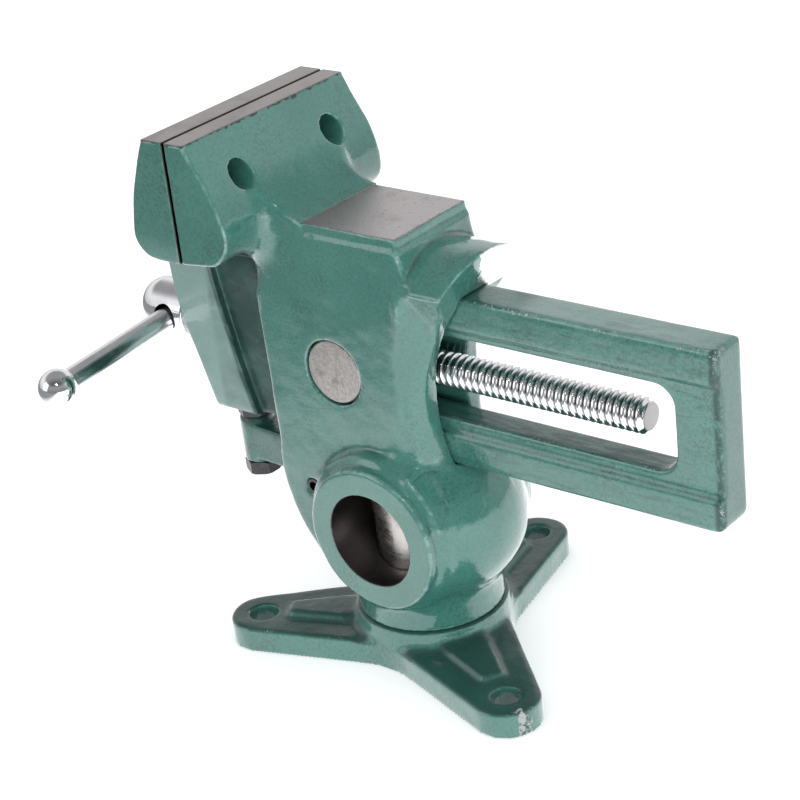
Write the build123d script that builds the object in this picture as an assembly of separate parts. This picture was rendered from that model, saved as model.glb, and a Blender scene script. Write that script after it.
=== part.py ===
"""Parrot vise: a small swivelling bench vise on a three-armed foot.

The foot carries an upright post. The vise casting turns on the post and holds the fixed jaw,
an anvil pad, a side socket and the guide for the slide. The moving jaw, its arm and the slide
are one casting, drawn along by a screw that runs in a round cross nut. A lever under the slide
presses the post when the jaws are tightened, and an adjusting bolt in its nose sets how soon.

Frame: +Z up, origin at the middle of the foot's underside on the post axis. Y runs along the
screw, with the slide's free end at +Y and the handle at -Y. X runs along the jaws.
"""
import os
from math import atan2, degrees, sqrt

from build123d import *

# Fits
overrun = 1.0               # how far a cut runs past the face that it leaves
running_fit = 0.05          # radial clearance of a shaft that turns or slides in its bore
slide_fit = 0.25            # clearance all round the slide in its guide
seat_gap = 0.15             # gap between flat faces of two pieces that turn on each other
edge_break = 0.8            # small rounding on turned edges
pick = 0.05                 # how near an edge has to be to a place to be picked there

# Foot
foot_thickness = 10.0
bolt_circle_radius = 68.2
bolt_hole_radius = 5.6
arm_count = 3
arm_turn = 60.0             # degrees from +X round to the first arm
arm_tip_radius = 13.2
arm_root_radius = 27.0
waist_radius = 34.0         # concave corner between two arms
foot_edge_radius = 1.4
hub_radius = 29.8           # where the vise casting sits on the hub
hub_height = 17.5           # top of the hub above the bench
hub_flare = 4.0             # concave flare from the hub down to the plate
rib_height = 2.8            # raised tongue along each arm
rib_root_half_width = 11.0
rib_tip_half_width = 5.2
rib_tip_gap = 4.0           # from the end of the tongue to the bolt hole
rib_draft = 1.7             # how much narrower the tongue is at its top, on each side
rib_corner_radius = 3.2
recess_radius = 12.0        # pocket under the foot for the post bolt's head
foot_web = 3.6              # floor between that pocket and the post's seat

# Post and its bolt
post_radius = 18.6
post_top = 77.5
post_chamfer = 1.5
post_bolt_radius = 5.0
post_bolt_grip = 18.0       # how far the bolt reaches into the post
post_bolt_head_radius = 8.8
post_bolt_head_height = 5.5
post_bolt_socket = 6.0      # across the flats of its hexagon socket
post_washer_radius = 10.5
post_washer_thickness = 2.0

# Vise casting
body_half_width = 22.0
roof_height = 19.7          # from the top of the slide up to the shoulder round the anvil pad
body_front_top = -51.77     # front edge inside the jaw
body_front_bottom = -48.9   # front edge where it starts to curve back
body_back = 20.6
body_edge_radius = 2.5
wing_blend = 7.0            # soft corner between the slab and the wings of the fixed jaw
chin_height = 62.0          # where the front edge starts to curve back to the neck
chin_foot = -24.0           # where that curve ends, just in front of the neck
chin_foot_height = 26.5
chin_sag = 4.1              # how far the chin bulges from its chord
neck_radius = 28.3
neck_top = 50.0
ball_radius = 33.3
ball_offset = 8.7           # the round housing lies this far behind the post axis
socket_drop = 20.7          # from the top of the post down to the axis of the side socket
boss_radius = 28.7
boss_reach = 31.8           # from the middle plane to the boss face
boss_step = 4.4             # height of the narrower end of the boss
boss_ring_radius = 32.6
boss_edge_radius = 1.2
boss_ring_blend = 2.4
boss_step_blend = 1.2
bore_headroom = 2.0         # free height above the post in its bore
bore_roof = 4.5             # from the top of that bore up to the slide

# Jaws
jaw_half_width = 44.5
jaw_height = 46.8
jaw_rise = 9.9              # from the top of the slide up to the foot of the jaws
jaw_gap = 1.2               # opening between the jaws as they stand
jaw_plane = -63.1           # middle of that opening
fixed_land = 9.0            # bare ground top of the fixed jaw
fixed_bulge = 24.0          # depth of the fixed jaw at its thickest
moving_land = 10.2
moving_bulge = 21.4
jaw_edge_chamfer = 0.7
jaw_hole_radius = 5.2
jaw_hole_spacing = 50.4
jaw_hole_drop = 15.6        # from the top of the jaws down to the holes
# Depth and height of the points below the land, as shares of the bulge and the jaw's height
fixed_jaw_shares = ((0.54, 0.846), (0.771, 0.654), (0.93, 0.47), (1.0, 0.30), (0.965, 0.19),
                    (0.825, 0.096), (0.56, 0.03))
moving_jaw_shares = ((0.57, 0.912), (0.762, 0.697), (0.907, 0.496), (0.986, 0.312),
                     (1.0, 0.145), (0.846, 0.045), (0.57, 0.0))

# Saddle between the fixed jaw and the anvil pad
saddle_shares = (0.69, 0.716)   # depth and height on the jaw where the saddle starts
saddle_sag = 2.4

# Anvil pad
anvil_half_width = 20.7
anvil_height = 4.5          # above its shoulder
anvil_front = -23.0
anvil_back = 19.1
anvil_draft = 0.5

# Guide and hood at the back of the casting
hood_half_width = 24.0
hood_arch_radius = 31.0
hood_arch_drop = 13.8       # from the top of the slide down to the centre of the arch
hood_corner_place = 24.4    # front end of the hood's side crease
hood_back = 44.0            # back of the hood at its crown, before the scoop
guide_half_width = 13.4     # the guide beside the slide
guide_waist_rise = 9.9      # from the screw axis up to where the hood runs into the guide
guide_foot_drop = 4.0       # how far the guide reaches below the slide
guide_shoulder_place = 12.5 # where the slab's sides start to lean in to the guide
guide_lean_drop = 8.2       # from the shoulder down to where that lean starts
lean_top_share = 0.12       # size of that lean at its top, as a share
cove_share = 0.28           # hollow of the slab's back above the hood, as a share
scoop_radius = 62.0         # the back of the guide is scooped hollow
scoop_back = 21.0           # its deepest point
scoop_drop = 8.6            # how far below the screw axis that is
scoop_top_drop = 4.0        # the back of the hood is straight from this far below the slide's top

# Slide
slide_half_width = 8.2
slide_end = 138.4
slide_edge_radius = 1.0
slide_corner_radius = 3.5   # lower corner of the free end
slide_top_corner_radius = 1.4
lower_rail_height = 17.8    # below the slot
upper_rail_height = 17.1
channel_depth = 2.0
channel_drop = 5.9          # how far the channel reaches below the slot
channel_rise = 4.0
channel_slope = 1.6         # how far the channel's lower wall leans
channel_start = -5.0
channel_stop = 132.0        # where the channel on the far side ends
slot_half_height = 16.3
slot_end = 119.9
slot_front = -42.0
slot_corner_radius = 8.0

# Arm of the moving jaw
arm_half_width = 12.0
arm_front_bottom = -90.6
arm_front_knee = -103.4
arm_knee_rise = 3.9         # from the screw axis up to the knee
arm_front_top = -106.6
arm_shoulder_drop = 1.5     # from the top of the slide down to the arm's shoulder
arm_crest_height_share = 0.59   # height and depth in the jaw where the arm runs out on its front
arm_crest_share = 0.6
arm_root_share = 0.25       # height in the jaw where the arm's back runs out
arm_shoulder_sag = 3.0
arm_back_bottom = -69.0
arm_back_top = -84.0
arm_back_sag = 1.2
arm_edge_radius = 1.4
spindle_boss_face = -102.5
spindle_spot_radius = 12.0  # flat spot milled on the arm for the washer

# Screw and cross nut
screw_radius = 6.5
thread_pitch = 3.0
thread_depth = 1.45
thread_flat_share = 0.34    # crest and root flats, as a share of the pitch
screw_end = 106.7
thread_start = -40.0
screw_tip_length = 1.6
groove_depth = 1.6
groove_place = -79.0
keeper_radius = 3.0
keeper_recess = 4.0         # how far the keeper is sunk in the underside of the arm
keeper_point_length = 4.0
keeper_point_share = 0.5
nut_radius = 12.7
nut_place = -16.5
nut_half_length = 21.2
nut_chamfer = 0.7
nut_gap = 0.4               # room round the cross nut in the casting

# Screw head
washer_thickness = 1.8
washer_radius = 10.6
head_radius = 11.0
head_dome_centre = -121.0
head_edge_radius = 1.0
spigot_radius = 5.0
spigot_wall = 0.8           # metal between the end of the spigot and the bar's hole
head_pin_radius = 1.0
head_pin_recess = 0.2

# Handle
bar_place = -113.6
bar_radius = 4.6
bar_hole_radius = 5.5
bar_tilt = -3.9             # degrees from level, as the handle stands
bar_reach = 70.3            # from the screw axis to each ball's centre
bar_stub_radius = 2.6
bar_stub_length = 5.0
ball_end_radius = 7.6

# Lock lever
pivot_place = -34.6
pivot_drop = 17.7           # from the slide down to the pin
pivot_radius = 3.1
pivot_bore_radius = 2.0
pivot_half_length = 21.6
lever_half_width = 6.4
lever_nose_place = -81.6
lever_nose_radius = 6.8
lever_nose_rise = 12.3      # above the pin
lever_nose_drop = 8.0       # below it
lever_web_rise = 9.2
lever_web_drop = 5.8
lever_hub_radius = 7.4
lever_heel_drop = 10.3      # from the pin down to the top of the heel
lever_heel_height = 8.0
lever_heel_gap = 0.06       # from the heel to the post, as the lever hangs
lever_heel_depth = 9.0
lever_chamfer = 1.4
lever_slot_gap = 0.6        # room on each side of the lever in its slot
lever_slot_room = 3.5       # room above and below it
lock_bolt_radius = 4.0
lock_bolt_flats = 12.7
lock_bolt_head_height = 5.3
lock_bolt_tip_gap = 1.4     # from the bolt's tip up to the slide, as the lever hangs
jam_nut_height = 3.2
hex_chamfer = 0.6

# Places that several pieces share
post_seat = foot_web + post_bolt_head_height + post_washer_thickness + seat_gap
recess_depth = post_seat - foot_web
neck_bottom = hub_height + seat_gap
socket_radius = post_radius + running_fit
socket_height = post_top - socket_drop
post_bore_top = post_top + bore_headroom
slide_bottom = post_bore_top + bore_roof
screw_height = slide_bottom + lower_rail_height + slot_half_height
slide_top = screw_height + slot_half_height + upper_rail_height
channel_bottom = screw_height - slot_half_height - channel_drop
channel_top = screw_height + slot_half_height + channel_rise
body_top = slide_top + roof_height
anvil_top = body_top + anvil_height
jaw_bottom = slide_top + jaw_rise
jaw_top = jaw_bottom + jaw_height
jaw_hole_height = jaw_top - jaw_hole_drop
fixed_face = jaw_plane + jaw_gap / 2
moving_face = jaw_plane - jaw_gap / 2
hood_arch_height = slide_top - hood_arch_drop
hood_crease = hood_arch_height + sqrt(hood_arch_radius ** 2 - hood_half_width ** 2)
hood_crown = hood_arch_height + hood_arch_radius
guide_waist_height = screw_height + guide_waist_rise
guide_foot_height = slide_bottom - guide_foot_drop
guide_lean_top = body_top - guide_lean_drop
scoop_height = screw_height - scoop_drop
scoop_top = slide_top - scoop_top_drop
slide_front = (arm_front_bottom + arm_back_top) / 2     # inside the arm over its whole height
arm_knee_height = screw_height + arm_knee_rise
arm_shoulder_height = slide_top - arm_shoulder_drop
arm_crest_height = jaw_bottom + arm_crest_height_share * jaw_height
arm_root_height = jaw_bottom + arm_root_share * jaw_height
pivot_height = slide_bottom - pivot_drop
lever_nose_top = pivot_height + lever_nose_rise
lever_nose_bottom = pivot_height - lever_nose_drop
lever_web_top = pivot_height + lever_web_rise
lever_web_bottom = pivot_height - lever_web_drop
lever_heel_top = pivot_height - lever_heel_drop
lever_heel_bottom = lever_heel_top - lever_heel_height
screw_bore_radius = screw_radius + running_fit
washer_face = spindle_boss_face - washer_thickness
spigot_end = bar_place + bar_hole_radius + spigot_wall
head_pin_place = (washer_face + spigot_end) / 2
groove_floor = screw_radius - groove_depth
keeper_point_radius = keeper_radius * keeper_point_share
bar_drop = bar_hole_radius - bar_radius - 2 * running_fit   # the bar lies at the bottom of its hole
lock_bolt_tip = slide_bottom - lock_bolt_tip_gap
corner_share = 1 / sqrt(3)      # from the middle of a hexagon to its corner, as a share of its flats


def polygon(*points):
    """Straight edges round a list of points."""
    return make_face(Polyline(*points, close=True))


def prism(face, half_width):
    """A face drawn in (y, z), drawn out to both sides of the middle plane."""
    return extrude(Plane.YZ * face, half_width, both=True)


def rod_x(y, z, radius, x_from, x_to):
    """A rod that lies across the vise."""
    return Plane.YZ * Pos(y, z, (x_from + x_to) / 2) * Cylinder(radius, x_to - x_from)


def rod_y(x, z, radius, y_from, y_to):
    """A rod that lies along the screw."""
    return Pos(x, (y_from + y_to) / 2, z) * Rot(X=-90) * Cylinder(radius, y_to - y_from)


def rod_z(x, y, radius, z_from, z_to):
    """An upright rod."""
    return Pos(x, y, (z_from + z_to) / 2) * Cylinder(radius, z_to - z_from)


def block(x_half, y_from, y_to, z_from, z_to):
    """A block that is centred on the middle plane."""
    size = Box(2 * x_half, y_to - y_from, z_to - z_from)
    return Pos(0, (y_from + y_to) / 2, (z_from + z_to) / 2) * size


def bowed(start, end, sag):
    """An arc from start to end that stands off its chord by sag, to the left of the way."""
    (a, b), (c, d) = start, end
    length = sqrt((c - a) ** 2 + (d - b) ** 2)
    middle = ((a + c) / 2 - sag * (d - b) / length, (b + d) / 2 + sag * (c - a) / length)
    return ThreePointArc(start, middle, end)


def foot():
    """The three-armed cast foot: plate, hub with a flared root, and a raised tongue per arm."""
    angles = [arm_turn + i * 360 / arm_count for i in range(arm_count)]
    plan = Circle(arm_root_radius)
    for angle in angles:
        tip = Rot(Z=angle) * Pos(bolt_circle_radius, 0) * Circle(arm_tip_radius)
        plan += make_hull((Circle(arm_root_radius) + tip).edges())
    plate = extrude(plan, foot_thickness)
    corners = [e for e in plate.edges().filter_by(Axis.Z) if e.center().X ** 2 + e.center().Y ** 2
               < (hub_radius + arm_tip_radius) ** 2]
    plate = fillet(corners, waist_radius)
    plate = fillet(plate.faces().sort_by(Axis.Z)[-1].outer_wire().edges(), foot_edge_radius)
    shape = plate + rod_z(0, 0, hub_radius, 0, hub_height)
    root = [e for e in shape.edges().filter_by(GeomType.CIRCLE)
            if abs(e.center().Z - foot_thickness) < seat_gap and abs(e.radius - hub_radius) < seat_gap]
    shape = fillet(root, hub_flare)
    rib_end = bolt_circle_radius - bolt_hole_radius - rib_tip_gap
    rib_start = hub_radius - hub_flare
    for angle in angles:
        outline = polygon((rib_start, -rib_root_half_width), (rib_end, -rib_tip_half_width),
                          (rib_end, rib_tip_half_width), (rib_start, rib_root_half_width))
        outline = fillet(outline.vertices().sort_by(Axis.X)[-2:], rib_corner_radius)
        lean = degrees(atan2(rib_draft, rib_height))
        rib = extrude(Pos(0, 0, foot_thickness) * outline, rib_height, taper=lean)
        shape += Rot(Z=angle) * rib
        shape -= Rot(Z=angle) * rod_z(bolt_circle_radius, 0, bolt_hole_radius, -overrun,
                                      foot_thickness + overrun)
    shape -= rod_z(0, 0, post_radius, post_seat, hub_height + overrun)
    shape -= rod_z(0, 0, recess_radius, -overrun, recess_depth)
    shape -= rod_z(0, 0, post_bolt_radius + running_fit, 0, hub_height)
    return shape


def post():
    """The turned steel post, seated in the hub and tapped below for its bolt."""
    shape = rod_z(0, 0, post_radius, post_seat, post_top)
    shape = chamfer(shape.edges().sort_by(Axis.Z)[-1], post_chamfer)
    return shape - rod_z(0, 0, post_bolt_radius, post_seat - overrun, post_seat + post_bolt_grip)


def post_washer():
    ring = rod_z(0, 0, post_washer_radius, recess_depth - post_washer_thickness, recess_depth)
    return ring - rod_z(0, 0, post_bolt_radius + running_fit, 0, hub_height)


def post_bolt():
    """A socket-head bolt, driven up from under the foot into the post."""
    seat = recess_depth - post_washer_thickness
    head = rod_z(0, 0, post_bolt_head_radius, seat - post_bolt_head_height, seat)
    head = fillet(head.edges().sort_by(Axis.Z)[0], edge_break)
    socket = extrude(RegularPolygon(post_bolt_socket * corner_share, 6), post_bolt_head_height / 2)
    head -= Pos(0, 0, seat - post_bolt_head_height) * socket
    return head + rod_z(0, 0, post_bolt_radius, seat, post_seat + post_bolt_grip)


def jaw_profile(face, away, land, bulge, shares):
    """Side view of a jaw: flat gripping face, ground land, curved back and rounded foot."""
    def at(depth, height):
        return (face + away * depth, jaw_bottom + height * jaw_height)
    curve = [at(land, 1)] + [at(bulge * d, h) for d, h in shares]
    (a, b), (c, d), (e, f) = curve[0], curve[1], curve[-1]
    foot_y, foot_z = at(0, 0)
    return make_face([
        Line(at(0, 0), at(0, 1)),
        Line(at(0, 1), at(land, 1)),
        Spline(*curve, tangents=((c - a, d - b), (foot_y - e, foot_z - f))),
        Line(curve[-1], at(0, 0)),
    ])


def edges_at_side(shape, half_width):
    """The edges that lie wholly in one of the two planes at half_width from the middle."""
    found = []
    for edge in shape.edges():
        box = edge.bounding_box()
        if box.size.X < pick and abs(abs(box.min.X) - half_width) < pick:
            found.append(edge)
    return found


def casting_core():
    """The fixed jaw and the flat-sided slab under it, joined by soft corners."""
    start = (fixed_face + fixed_bulge * saddle_shares[0], jaw_bottom + jaw_height * saddle_shares[1])
    front_top = (body_front_top, (jaw_bottom + start[1]) / 2)
    front_foot = (body_front_bottom, chin_height)
    chin_end = (chin_foot, chin_foot_height)
    cove = (body_back + cove_share * (hood_corner_place - body_back), (hood_crease + body_top) / 2)
    side = make_face([
        Line((body_front_top, start[1]), front_top),
        Line(front_top, front_foot),
        bowed(front_foot, chin_end, -chin_sag),
        Line(chin_end, (0, chin_foot_height)),
        Line((0, chin_foot_height), (0, guide_foot_height)),
        Line((0, guide_foot_height), (hood_corner_place, guide_foot_height)),
        Line((hood_corner_place, guide_foot_height), (hood_corner_place, hood_crease)),
        ThreePointArc((hood_corner_place, hood_crease), cove, (body_back, body_top)),
        Line((body_back, body_top), (anvil_front, body_top)),
        Line((anvil_front, body_top), (anvil_front, anvil_top)),
        bowed((anvil_front, anvil_top), start, saddle_sag),
        Line(start, (body_front_top, start[1])),
    ])
    jaw = prism(jaw_profile(fixed_face, 1, fixed_land, fixed_bulge, fixed_jaw_shares),
                jaw_half_width)
    jaw = chamfer(edges_at_side(jaw, jaw_half_width), jaw_edge_chamfer)
    slab = prism(side, body_half_width)
    front = [e for e in edges_at_side(slab, body_half_width)
             if e.center().Y < chin_foot and e.bounding_box().min.Z < jaw_bottom]
    slab = fillet(front, body_edge_radius)
    back = [e for e in edges_at_side(slab, body_half_width)
            if e.center().Y > body_back and e.bounding_box().min.Z > hood_crease - pick]
    slab = fillet(back, body_edge_radius)
    shape = slab + jaw
    thickest = fixed_face + fixed_bulge
    wings = [e for e in edges_at_side(shape, body_half_width)
             if e.center().Y < anvil_front and e.bounding_box().min.Z > jaw_bottom
             and e.bounding_box().max.Y < thickest + pick]
    under = [e for e in shape.edges()
             if abs(e.center().X) < body_half_width - pick and jaw_bottom < e.center().Z < body_top
             and body_front_top - body_edge_radius < e.center().Y < thickest - wing_blend]
    shape = fillet(wings + under, wing_blend)
    return shape - lean_corners()


def lean_corners():
    """What is cut from the slab's back corners, where its sides lean in to the guide."""
    depth = hood_corner_place - guide_shoulder_place
    width = body_half_width - guide_half_width
    lean = polygon((overrun, overrun), (overrun, -depth), (0, -depth), (-width, 0),
                   (-width, overrun))
    low = Pos(0, 0, guide_foot_height) * lean
    middle = Pos(0, 0, guide_waist_height) * lean
    top = Pos(0, 0, guide_lean_top) * lean.scale(lean_top_share)
    corner = extrude(low, guide_waist_height - guide_foot_height) + loft([middle, top])
    corner = Pos(body_half_width, hood_corner_place) * corner
    return corner + mirror(corner, Plane.YZ)


def anvil_pad():
    """The ground pad behind the jaw, with a little draft down to its shoulder."""
    height = anvil_top - body_top
    top = Pos(0, (anvil_front + anvil_back) / 2, anvil_top) * Rectangle(
        2 * anvil_half_width, anvil_back - anvil_front)
    return extrude(top, -height, taper=-degrees(atan2(anvil_draft, height)))


def guide():
    """The guide behind the slab: narrow beside the slide, with an arched hood on top."""
    drop = hood_crease - guide_waist_height
    spread = hood_half_width - guide_half_width
    under_radius = (drop ** 2 + spread ** 2) / (2 * spread)
    half = drop / 2
    under_x = guide_half_width + under_radius - sqrt(under_radius ** 2 - half ** 2)
    sides = []
    for side in (1, -1):
        waist = (side * guide_half_width, guide_waist_height)
        sides.append(ThreePointArc((side * hood_half_width, hood_crease),
                                   (side * under_x, guide_waist_height + half), waist))
        sides.append(Line(waist, (side * guide_half_width, guide_foot_height)))
    arch = ThreePointArc((-hood_half_width, hood_crease), (0, hood_crown),
                         (hood_half_width, hood_crease))
    floor = Line((-guide_half_width, guide_foot_height), (guide_half_width, guide_foot_height))
    section = make_face([arch, floor, *sides])
    hood = extrude(Plane.XZ * Pos(0, 0, -hood_corner_place) * section,
                   -(hood_back + overrun - hood_corner_place))
    inner = extrude(Plane.XZ * Pos(0, 0, -guide_shoulder_place) * section,
                    -(hood_corner_place - guide_shoulder_place))
    inner &= block(body_half_width, 0, hood_back, guide_foot_height - overrun, hood_crown + overrun)
    return hood + inner


def scoop():
    """What is cut from the back of the guide: a round hollow that leaves the hood standing out."""
    scoop_centre = scoop_back + scoop_radius

    def back(height):
        return scoop_centre - sqrt(scoop_radius ** 2 - (height - scoop_height) ** 2)

    low = guide_foot_height - overrun
    far = scoop_centre
    high = hood_crown + overrun
    side = make_face([
        ThreePointArc((back(low), low), (scoop_back, scoop_height), (back(scoop_top), scoop_top)),
        Line((back(scoop_top), scoop_top), (hood_back, hood_crown)),
        Line((hood_back, hood_crown), (hood_back, high)),
        Line((hood_back, high), (far, high)),
        Line((far, high), (far, low)),
        Line((far, low), (back(low), low)),
    ])
    return prism(side, hood_half_width + overrun)


def side_bosses():
    """The turned bosses on both sides of the round housing, with softened steps."""
    ring = boss_reach - boss_step
    half = polygon((0, 0), (0, boss_reach), (boss_radius, boss_reach), (boss_radius, ring),
                   (boss_ring_radius, ring), (boss_ring_radius, 0))

    def corners(radius, reach):
        return [v for v in half.vertices() if abs(v.X - radius) + abs(v.Y - reach) < pick]

    half = fillet(corners(boss_radius, boss_reach), boss_edge_radius)
    half = fillet(corners(boss_radius, ring), boss_step_blend)
    half = fillet(corners(boss_ring_radius, ring), boss_ring_blend)
    whole = half + mirror(half, Plane.XZ)
    return Pos(0, 0, socket_height) * Rot(Z=-90) * revolve(whole, Axis.Y)


def round_housing():
    """The round lower body that holds the post, with a turned boss for the side socket."""
    ring = boss_reach - boss_step
    shape = Pos(0, ball_offset, socket_height) * Rot(Y=90) * Sphere(ball_radius)
    shape &= Pos(0, ball_offset, socket_height) * Box(2 * ring, 2 * jaw_half_width,
                                                             2 * jaw_half_width)
    shape += rod_z(0, 0, neck_radius, neck_bottom, neck_top)
    return shape + side_bosses()


def vise_body():
    shape = casting_core() + guide() - scoop() + round_housing() + anvil_pad()
    shape -= block(slide_half_width + slide_fit, jaw_plane, slide_end, slide_bottom - slide_fit,
                   slide_top + slide_fit)
    shape -= rod_z(0, 0, socket_radius, 0, post_bore_top)
    shape -= rod_x(0, socket_height, socket_radius, -ball_radius - overrun, ball_radius + overrun)
    shape -= rod_x(nut_place, screw_height, nut_radius + nut_gap,
                   -body_half_width - overrun, body_half_width + overrun)
    shape -= rod_x(pivot_place, pivot_height, pivot_radius, -body_half_width - overrun,
                   body_half_width + overrun)
    for side in (1, -1):
        shape -= rod_y(side * jaw_hole_spacing / 2, jaw_hole_height, jaw_hole_radius,
                       fixed_face - overrun, fixed_face + fixed_bulge + overrun)
    slot_half = lever_half_width + lever_slot_gap
    shape -= block(slot_half, lever_nose_place, 0, lever_heel_bottom - lever_slot_room,
                   lever_web_top + lever_slot_room)
    return shape


def turned(profile, place, height):
    """A body turned about an axis along the screw, from (radius, y) points."""
    face = polygon(*[(radius, -y) for radius, y in profile])
    return Pos(place, 0, height) * Rot(X=90) * revolve(face.rotate(Axis.X, 90), Axis.Z)


def moving_jaw():
    """Moving jaw, arm, spindle boss and slide in one casting."""
    jaw = prism(jaw_profile(moving_face, -1, moving_land, moving_bulge, moving_jaw_shares),
                jaw_half_width)
    jaw = chamfer(edges_at_side(jaw, jaw_half_width), jaw_edge_chamfer)
    crest = (moving_face - moving_bulge * arm_crest_share, arm_crest_height)
    root = (moving_face - moving_bulge * arm_crest_share, arm_root_height)
    side = make_face([
        Line((arm_back_bottom, slide_bottom), (arm_front_bottom, slide_bottom)),
        Line((arm_front_bottom, slide_bottom), (arm_front_knee, arm_knee_height)),
        Line((arm_front_knee, arm_knee_height), (arm_front_top, arm_shoulder_height)),
        bowed((arm_front_top, arm_shoulder_height), crest, -arm_shoulder_sag),
        Line(crest, root),
        Line(root, (arm_back_top, arm_shoulder_height)),
        bowed((arm_back_top, arm_shoulder_height), (arm_back_bottom, slide_bottom), -arm_back_sag),
    ])
    arm = prism(side, arm_half_width)
    low = [e for e in edges_at_side(arm, arm_half_width) if e.center().Z < jaw_bottom]
    shape = jaw + fillet(low, arm_edge_radius)
    slide = block(slide_half_width, slide_front, slide_end, slide_bottom, slide_top)
    for low, radius in ((True, slide_corner_radius), (False, slide_top_corner_radius)):
        ends = [e for e in slide.edges().filter_by(Axis.X)
                if e.center().Y > 0 and (e.center().Z < screw_height) == low]
        slide = fillet(ends, radius)
    slide = fillet(edges_at_side(slide, slide_half_width), slide_edge_radius)
    for side, stop in ((1, slide_end + overrun), (-1, channel_stop)):
        inner = side * (slide_half_width - channel_depth)
        outer = side * (slide_half_width + overrun)
        lean = channel_slope * (channel_depth + overrun) / channel_depth
        floor = channel_bottom + channel_slope
        channel = polygon((inner, floor), (outer, floor - lean), (outer, channel_top),
                          (inner, channel_top))
        slide -= extrude(Plane.XZ * Pos(0, 0, -channel_start) * channel, -(stop - channel_start))
    shape += slide
    slot = Plane.YZ * Pos((slot_front + slot_end) / 2, screw_height) * RectangleRounded(
        slot_end - slot_front, 2 * slot_half_height, slot_corner_radius)
    shape -= extrude(slot, slide_half_width + overrun, both=True)
    shape -= rod_y(0, screw_height, spindle_spot_radius, arm_front_top, spindle_boss_face)
    shape -= rod_y(0, screw_height, screw_bore_radius, spindle_boss_face - overrun,
                   slot_front + overrun)
    shape -= rod_z(0, groove_place, keeper_radius, slide_bottom - overrun, screw_height)
    for side in (1, -1):
        shape -= rod_y(side * jaw_hole_spacing / 2, jaw_hole_height, jaw_hole_radius,
                       moving_face - moving_bulge - overrun, moving_face + overrun)
    return shape


def keeper_screw():
    """A set screw in the underside of the arm; its point runs in the screw's groove."""
    point = screw_height - groove_floor - seat_gap
    shape = rod_z(0, groove_place, keeper_radius, slide_bottom + keeper_recess,
                  point - keeper_point_length)
    shape += rod_z(0, groove_place, keeper_point_radius, point - keeper_point_length, point)
    socket = extrude(RegularPolygon(keeper_point_radius, 6), keeper_radius)
    return shape - Pos(0, groove_place, slide_bottom + keeper_recess) * socket


def lead_screw():
    """The screw: spigot for the head, plain shank with the keeper's groove, then thread."""
    half_groove = keeper_point_radius + seat_gap
    root = screw_radius - thread_depth
    flat = thread_pitch * thread_flat_share
    lean = (thread_pitch - 2 * flat) / 2
    points = [(0, spigot_end), (spigot_radius, spigot_end), (spigot_radius, washer_face),
              (screw_radius, washer_face), (screw_radius, groove_place - half_groove),
              (groove_floor, groove_place - half_groove), (groove_floor, groove_place + half_groove),
              (screw_radius, groove_place + half_groove)]
    y = thread_start
    while y + thread_pitch < screw_end - screw_tip_length:
        points += [(screw_radius, y), (root, y + lean), (root, y + lean + flat),
                   (screw_radius, y + 2 * lean + flat)]
        y += thread_pitch
    points += [(screw_radius, screw_end - screw_tip_length), (root, screw_end), (0, screw_end)]
    pin_hole = rod_z(0, head_pin_place, head_pin_radius, screw_height - head_radius,
                     screw_height + head_radius)
    return turned(points, 0, screw_height) - pin_hole


def thrust_washer():
    ring = rod_y(0, screw_height, washer_radius, washer_face, spindle_boss_face)
    return ring - rod_y(0, screw_height, screw_bore_radius, washer_face - overrun,
                        spindle_boss_face + overrun)


def along_bar(shape):
    """Place a shape drawn about the X axis so that it lies along the handle bar."""
    return Pos(0, bar_place, screw_height) * Rot(Y=-bar_tilt) * shape


def screw_head():
    """The domed head, bored for the screw's spigot and drilled across for the bar."""
    shape = rod_y(0, screw_height, head_radius, head_dome_centre, washer_face)
    shape = fillet(shape.edges().sort_by(Axis.Y)[-1], head_edge_radius)
    shape += Pos(0, head_dome_centre, screw_height) * Sphere(head_radius)
    shape -= rod_y(0, screw_height, spigot_radius, spigot_end, washer_face + overrun)
    shape -= along_bar(Rot(Y=90) * Cylinder(bar_hole_radius, 2 * head_radius + 2 * overrun))
    return shape - rod_z(0, head_pin_place, head_pin_radius, screw_height - head_radius,
                         screw_height + head_radius)


def head_pin():
    """The pin through the head and the spigot."""
    reach = head_radius - head_pin_recess
    return rod_z(0, head_pin_place, head_pin_radius, screw_height - reach, screw_height + reach)


def handle_bar():
    """The bar, turned down at both ends to take its balls."""
    shape = Rot(Y=90) * Cylinder(bar_radius, 2 * (bar_reach - bar_stub_length))
    shape += Rot(Y=90) * Cylinder(bar_stub_radius, 2 * bar_reach)
    return along_bar(Pos(0, 0, -bar_drop) * shape)


def handle_ball(side):
    """A ball with a flat and a hole, pressed on the end of the bar."""
    shape = Pos(side * bar_reach, 0, 0) * Sphere(ball_end_radius)
    shape -= Rot(Y=90) * Cylinder(bar_stub_radius, 2 * bar_reach)
    shape -= Rot(Y=90) * Cylinder(bar_radius, 2 * (bar_reach - bar_stub_length))
    return along_bar(Pos(0, 0, -bar_drop) * shape)


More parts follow.
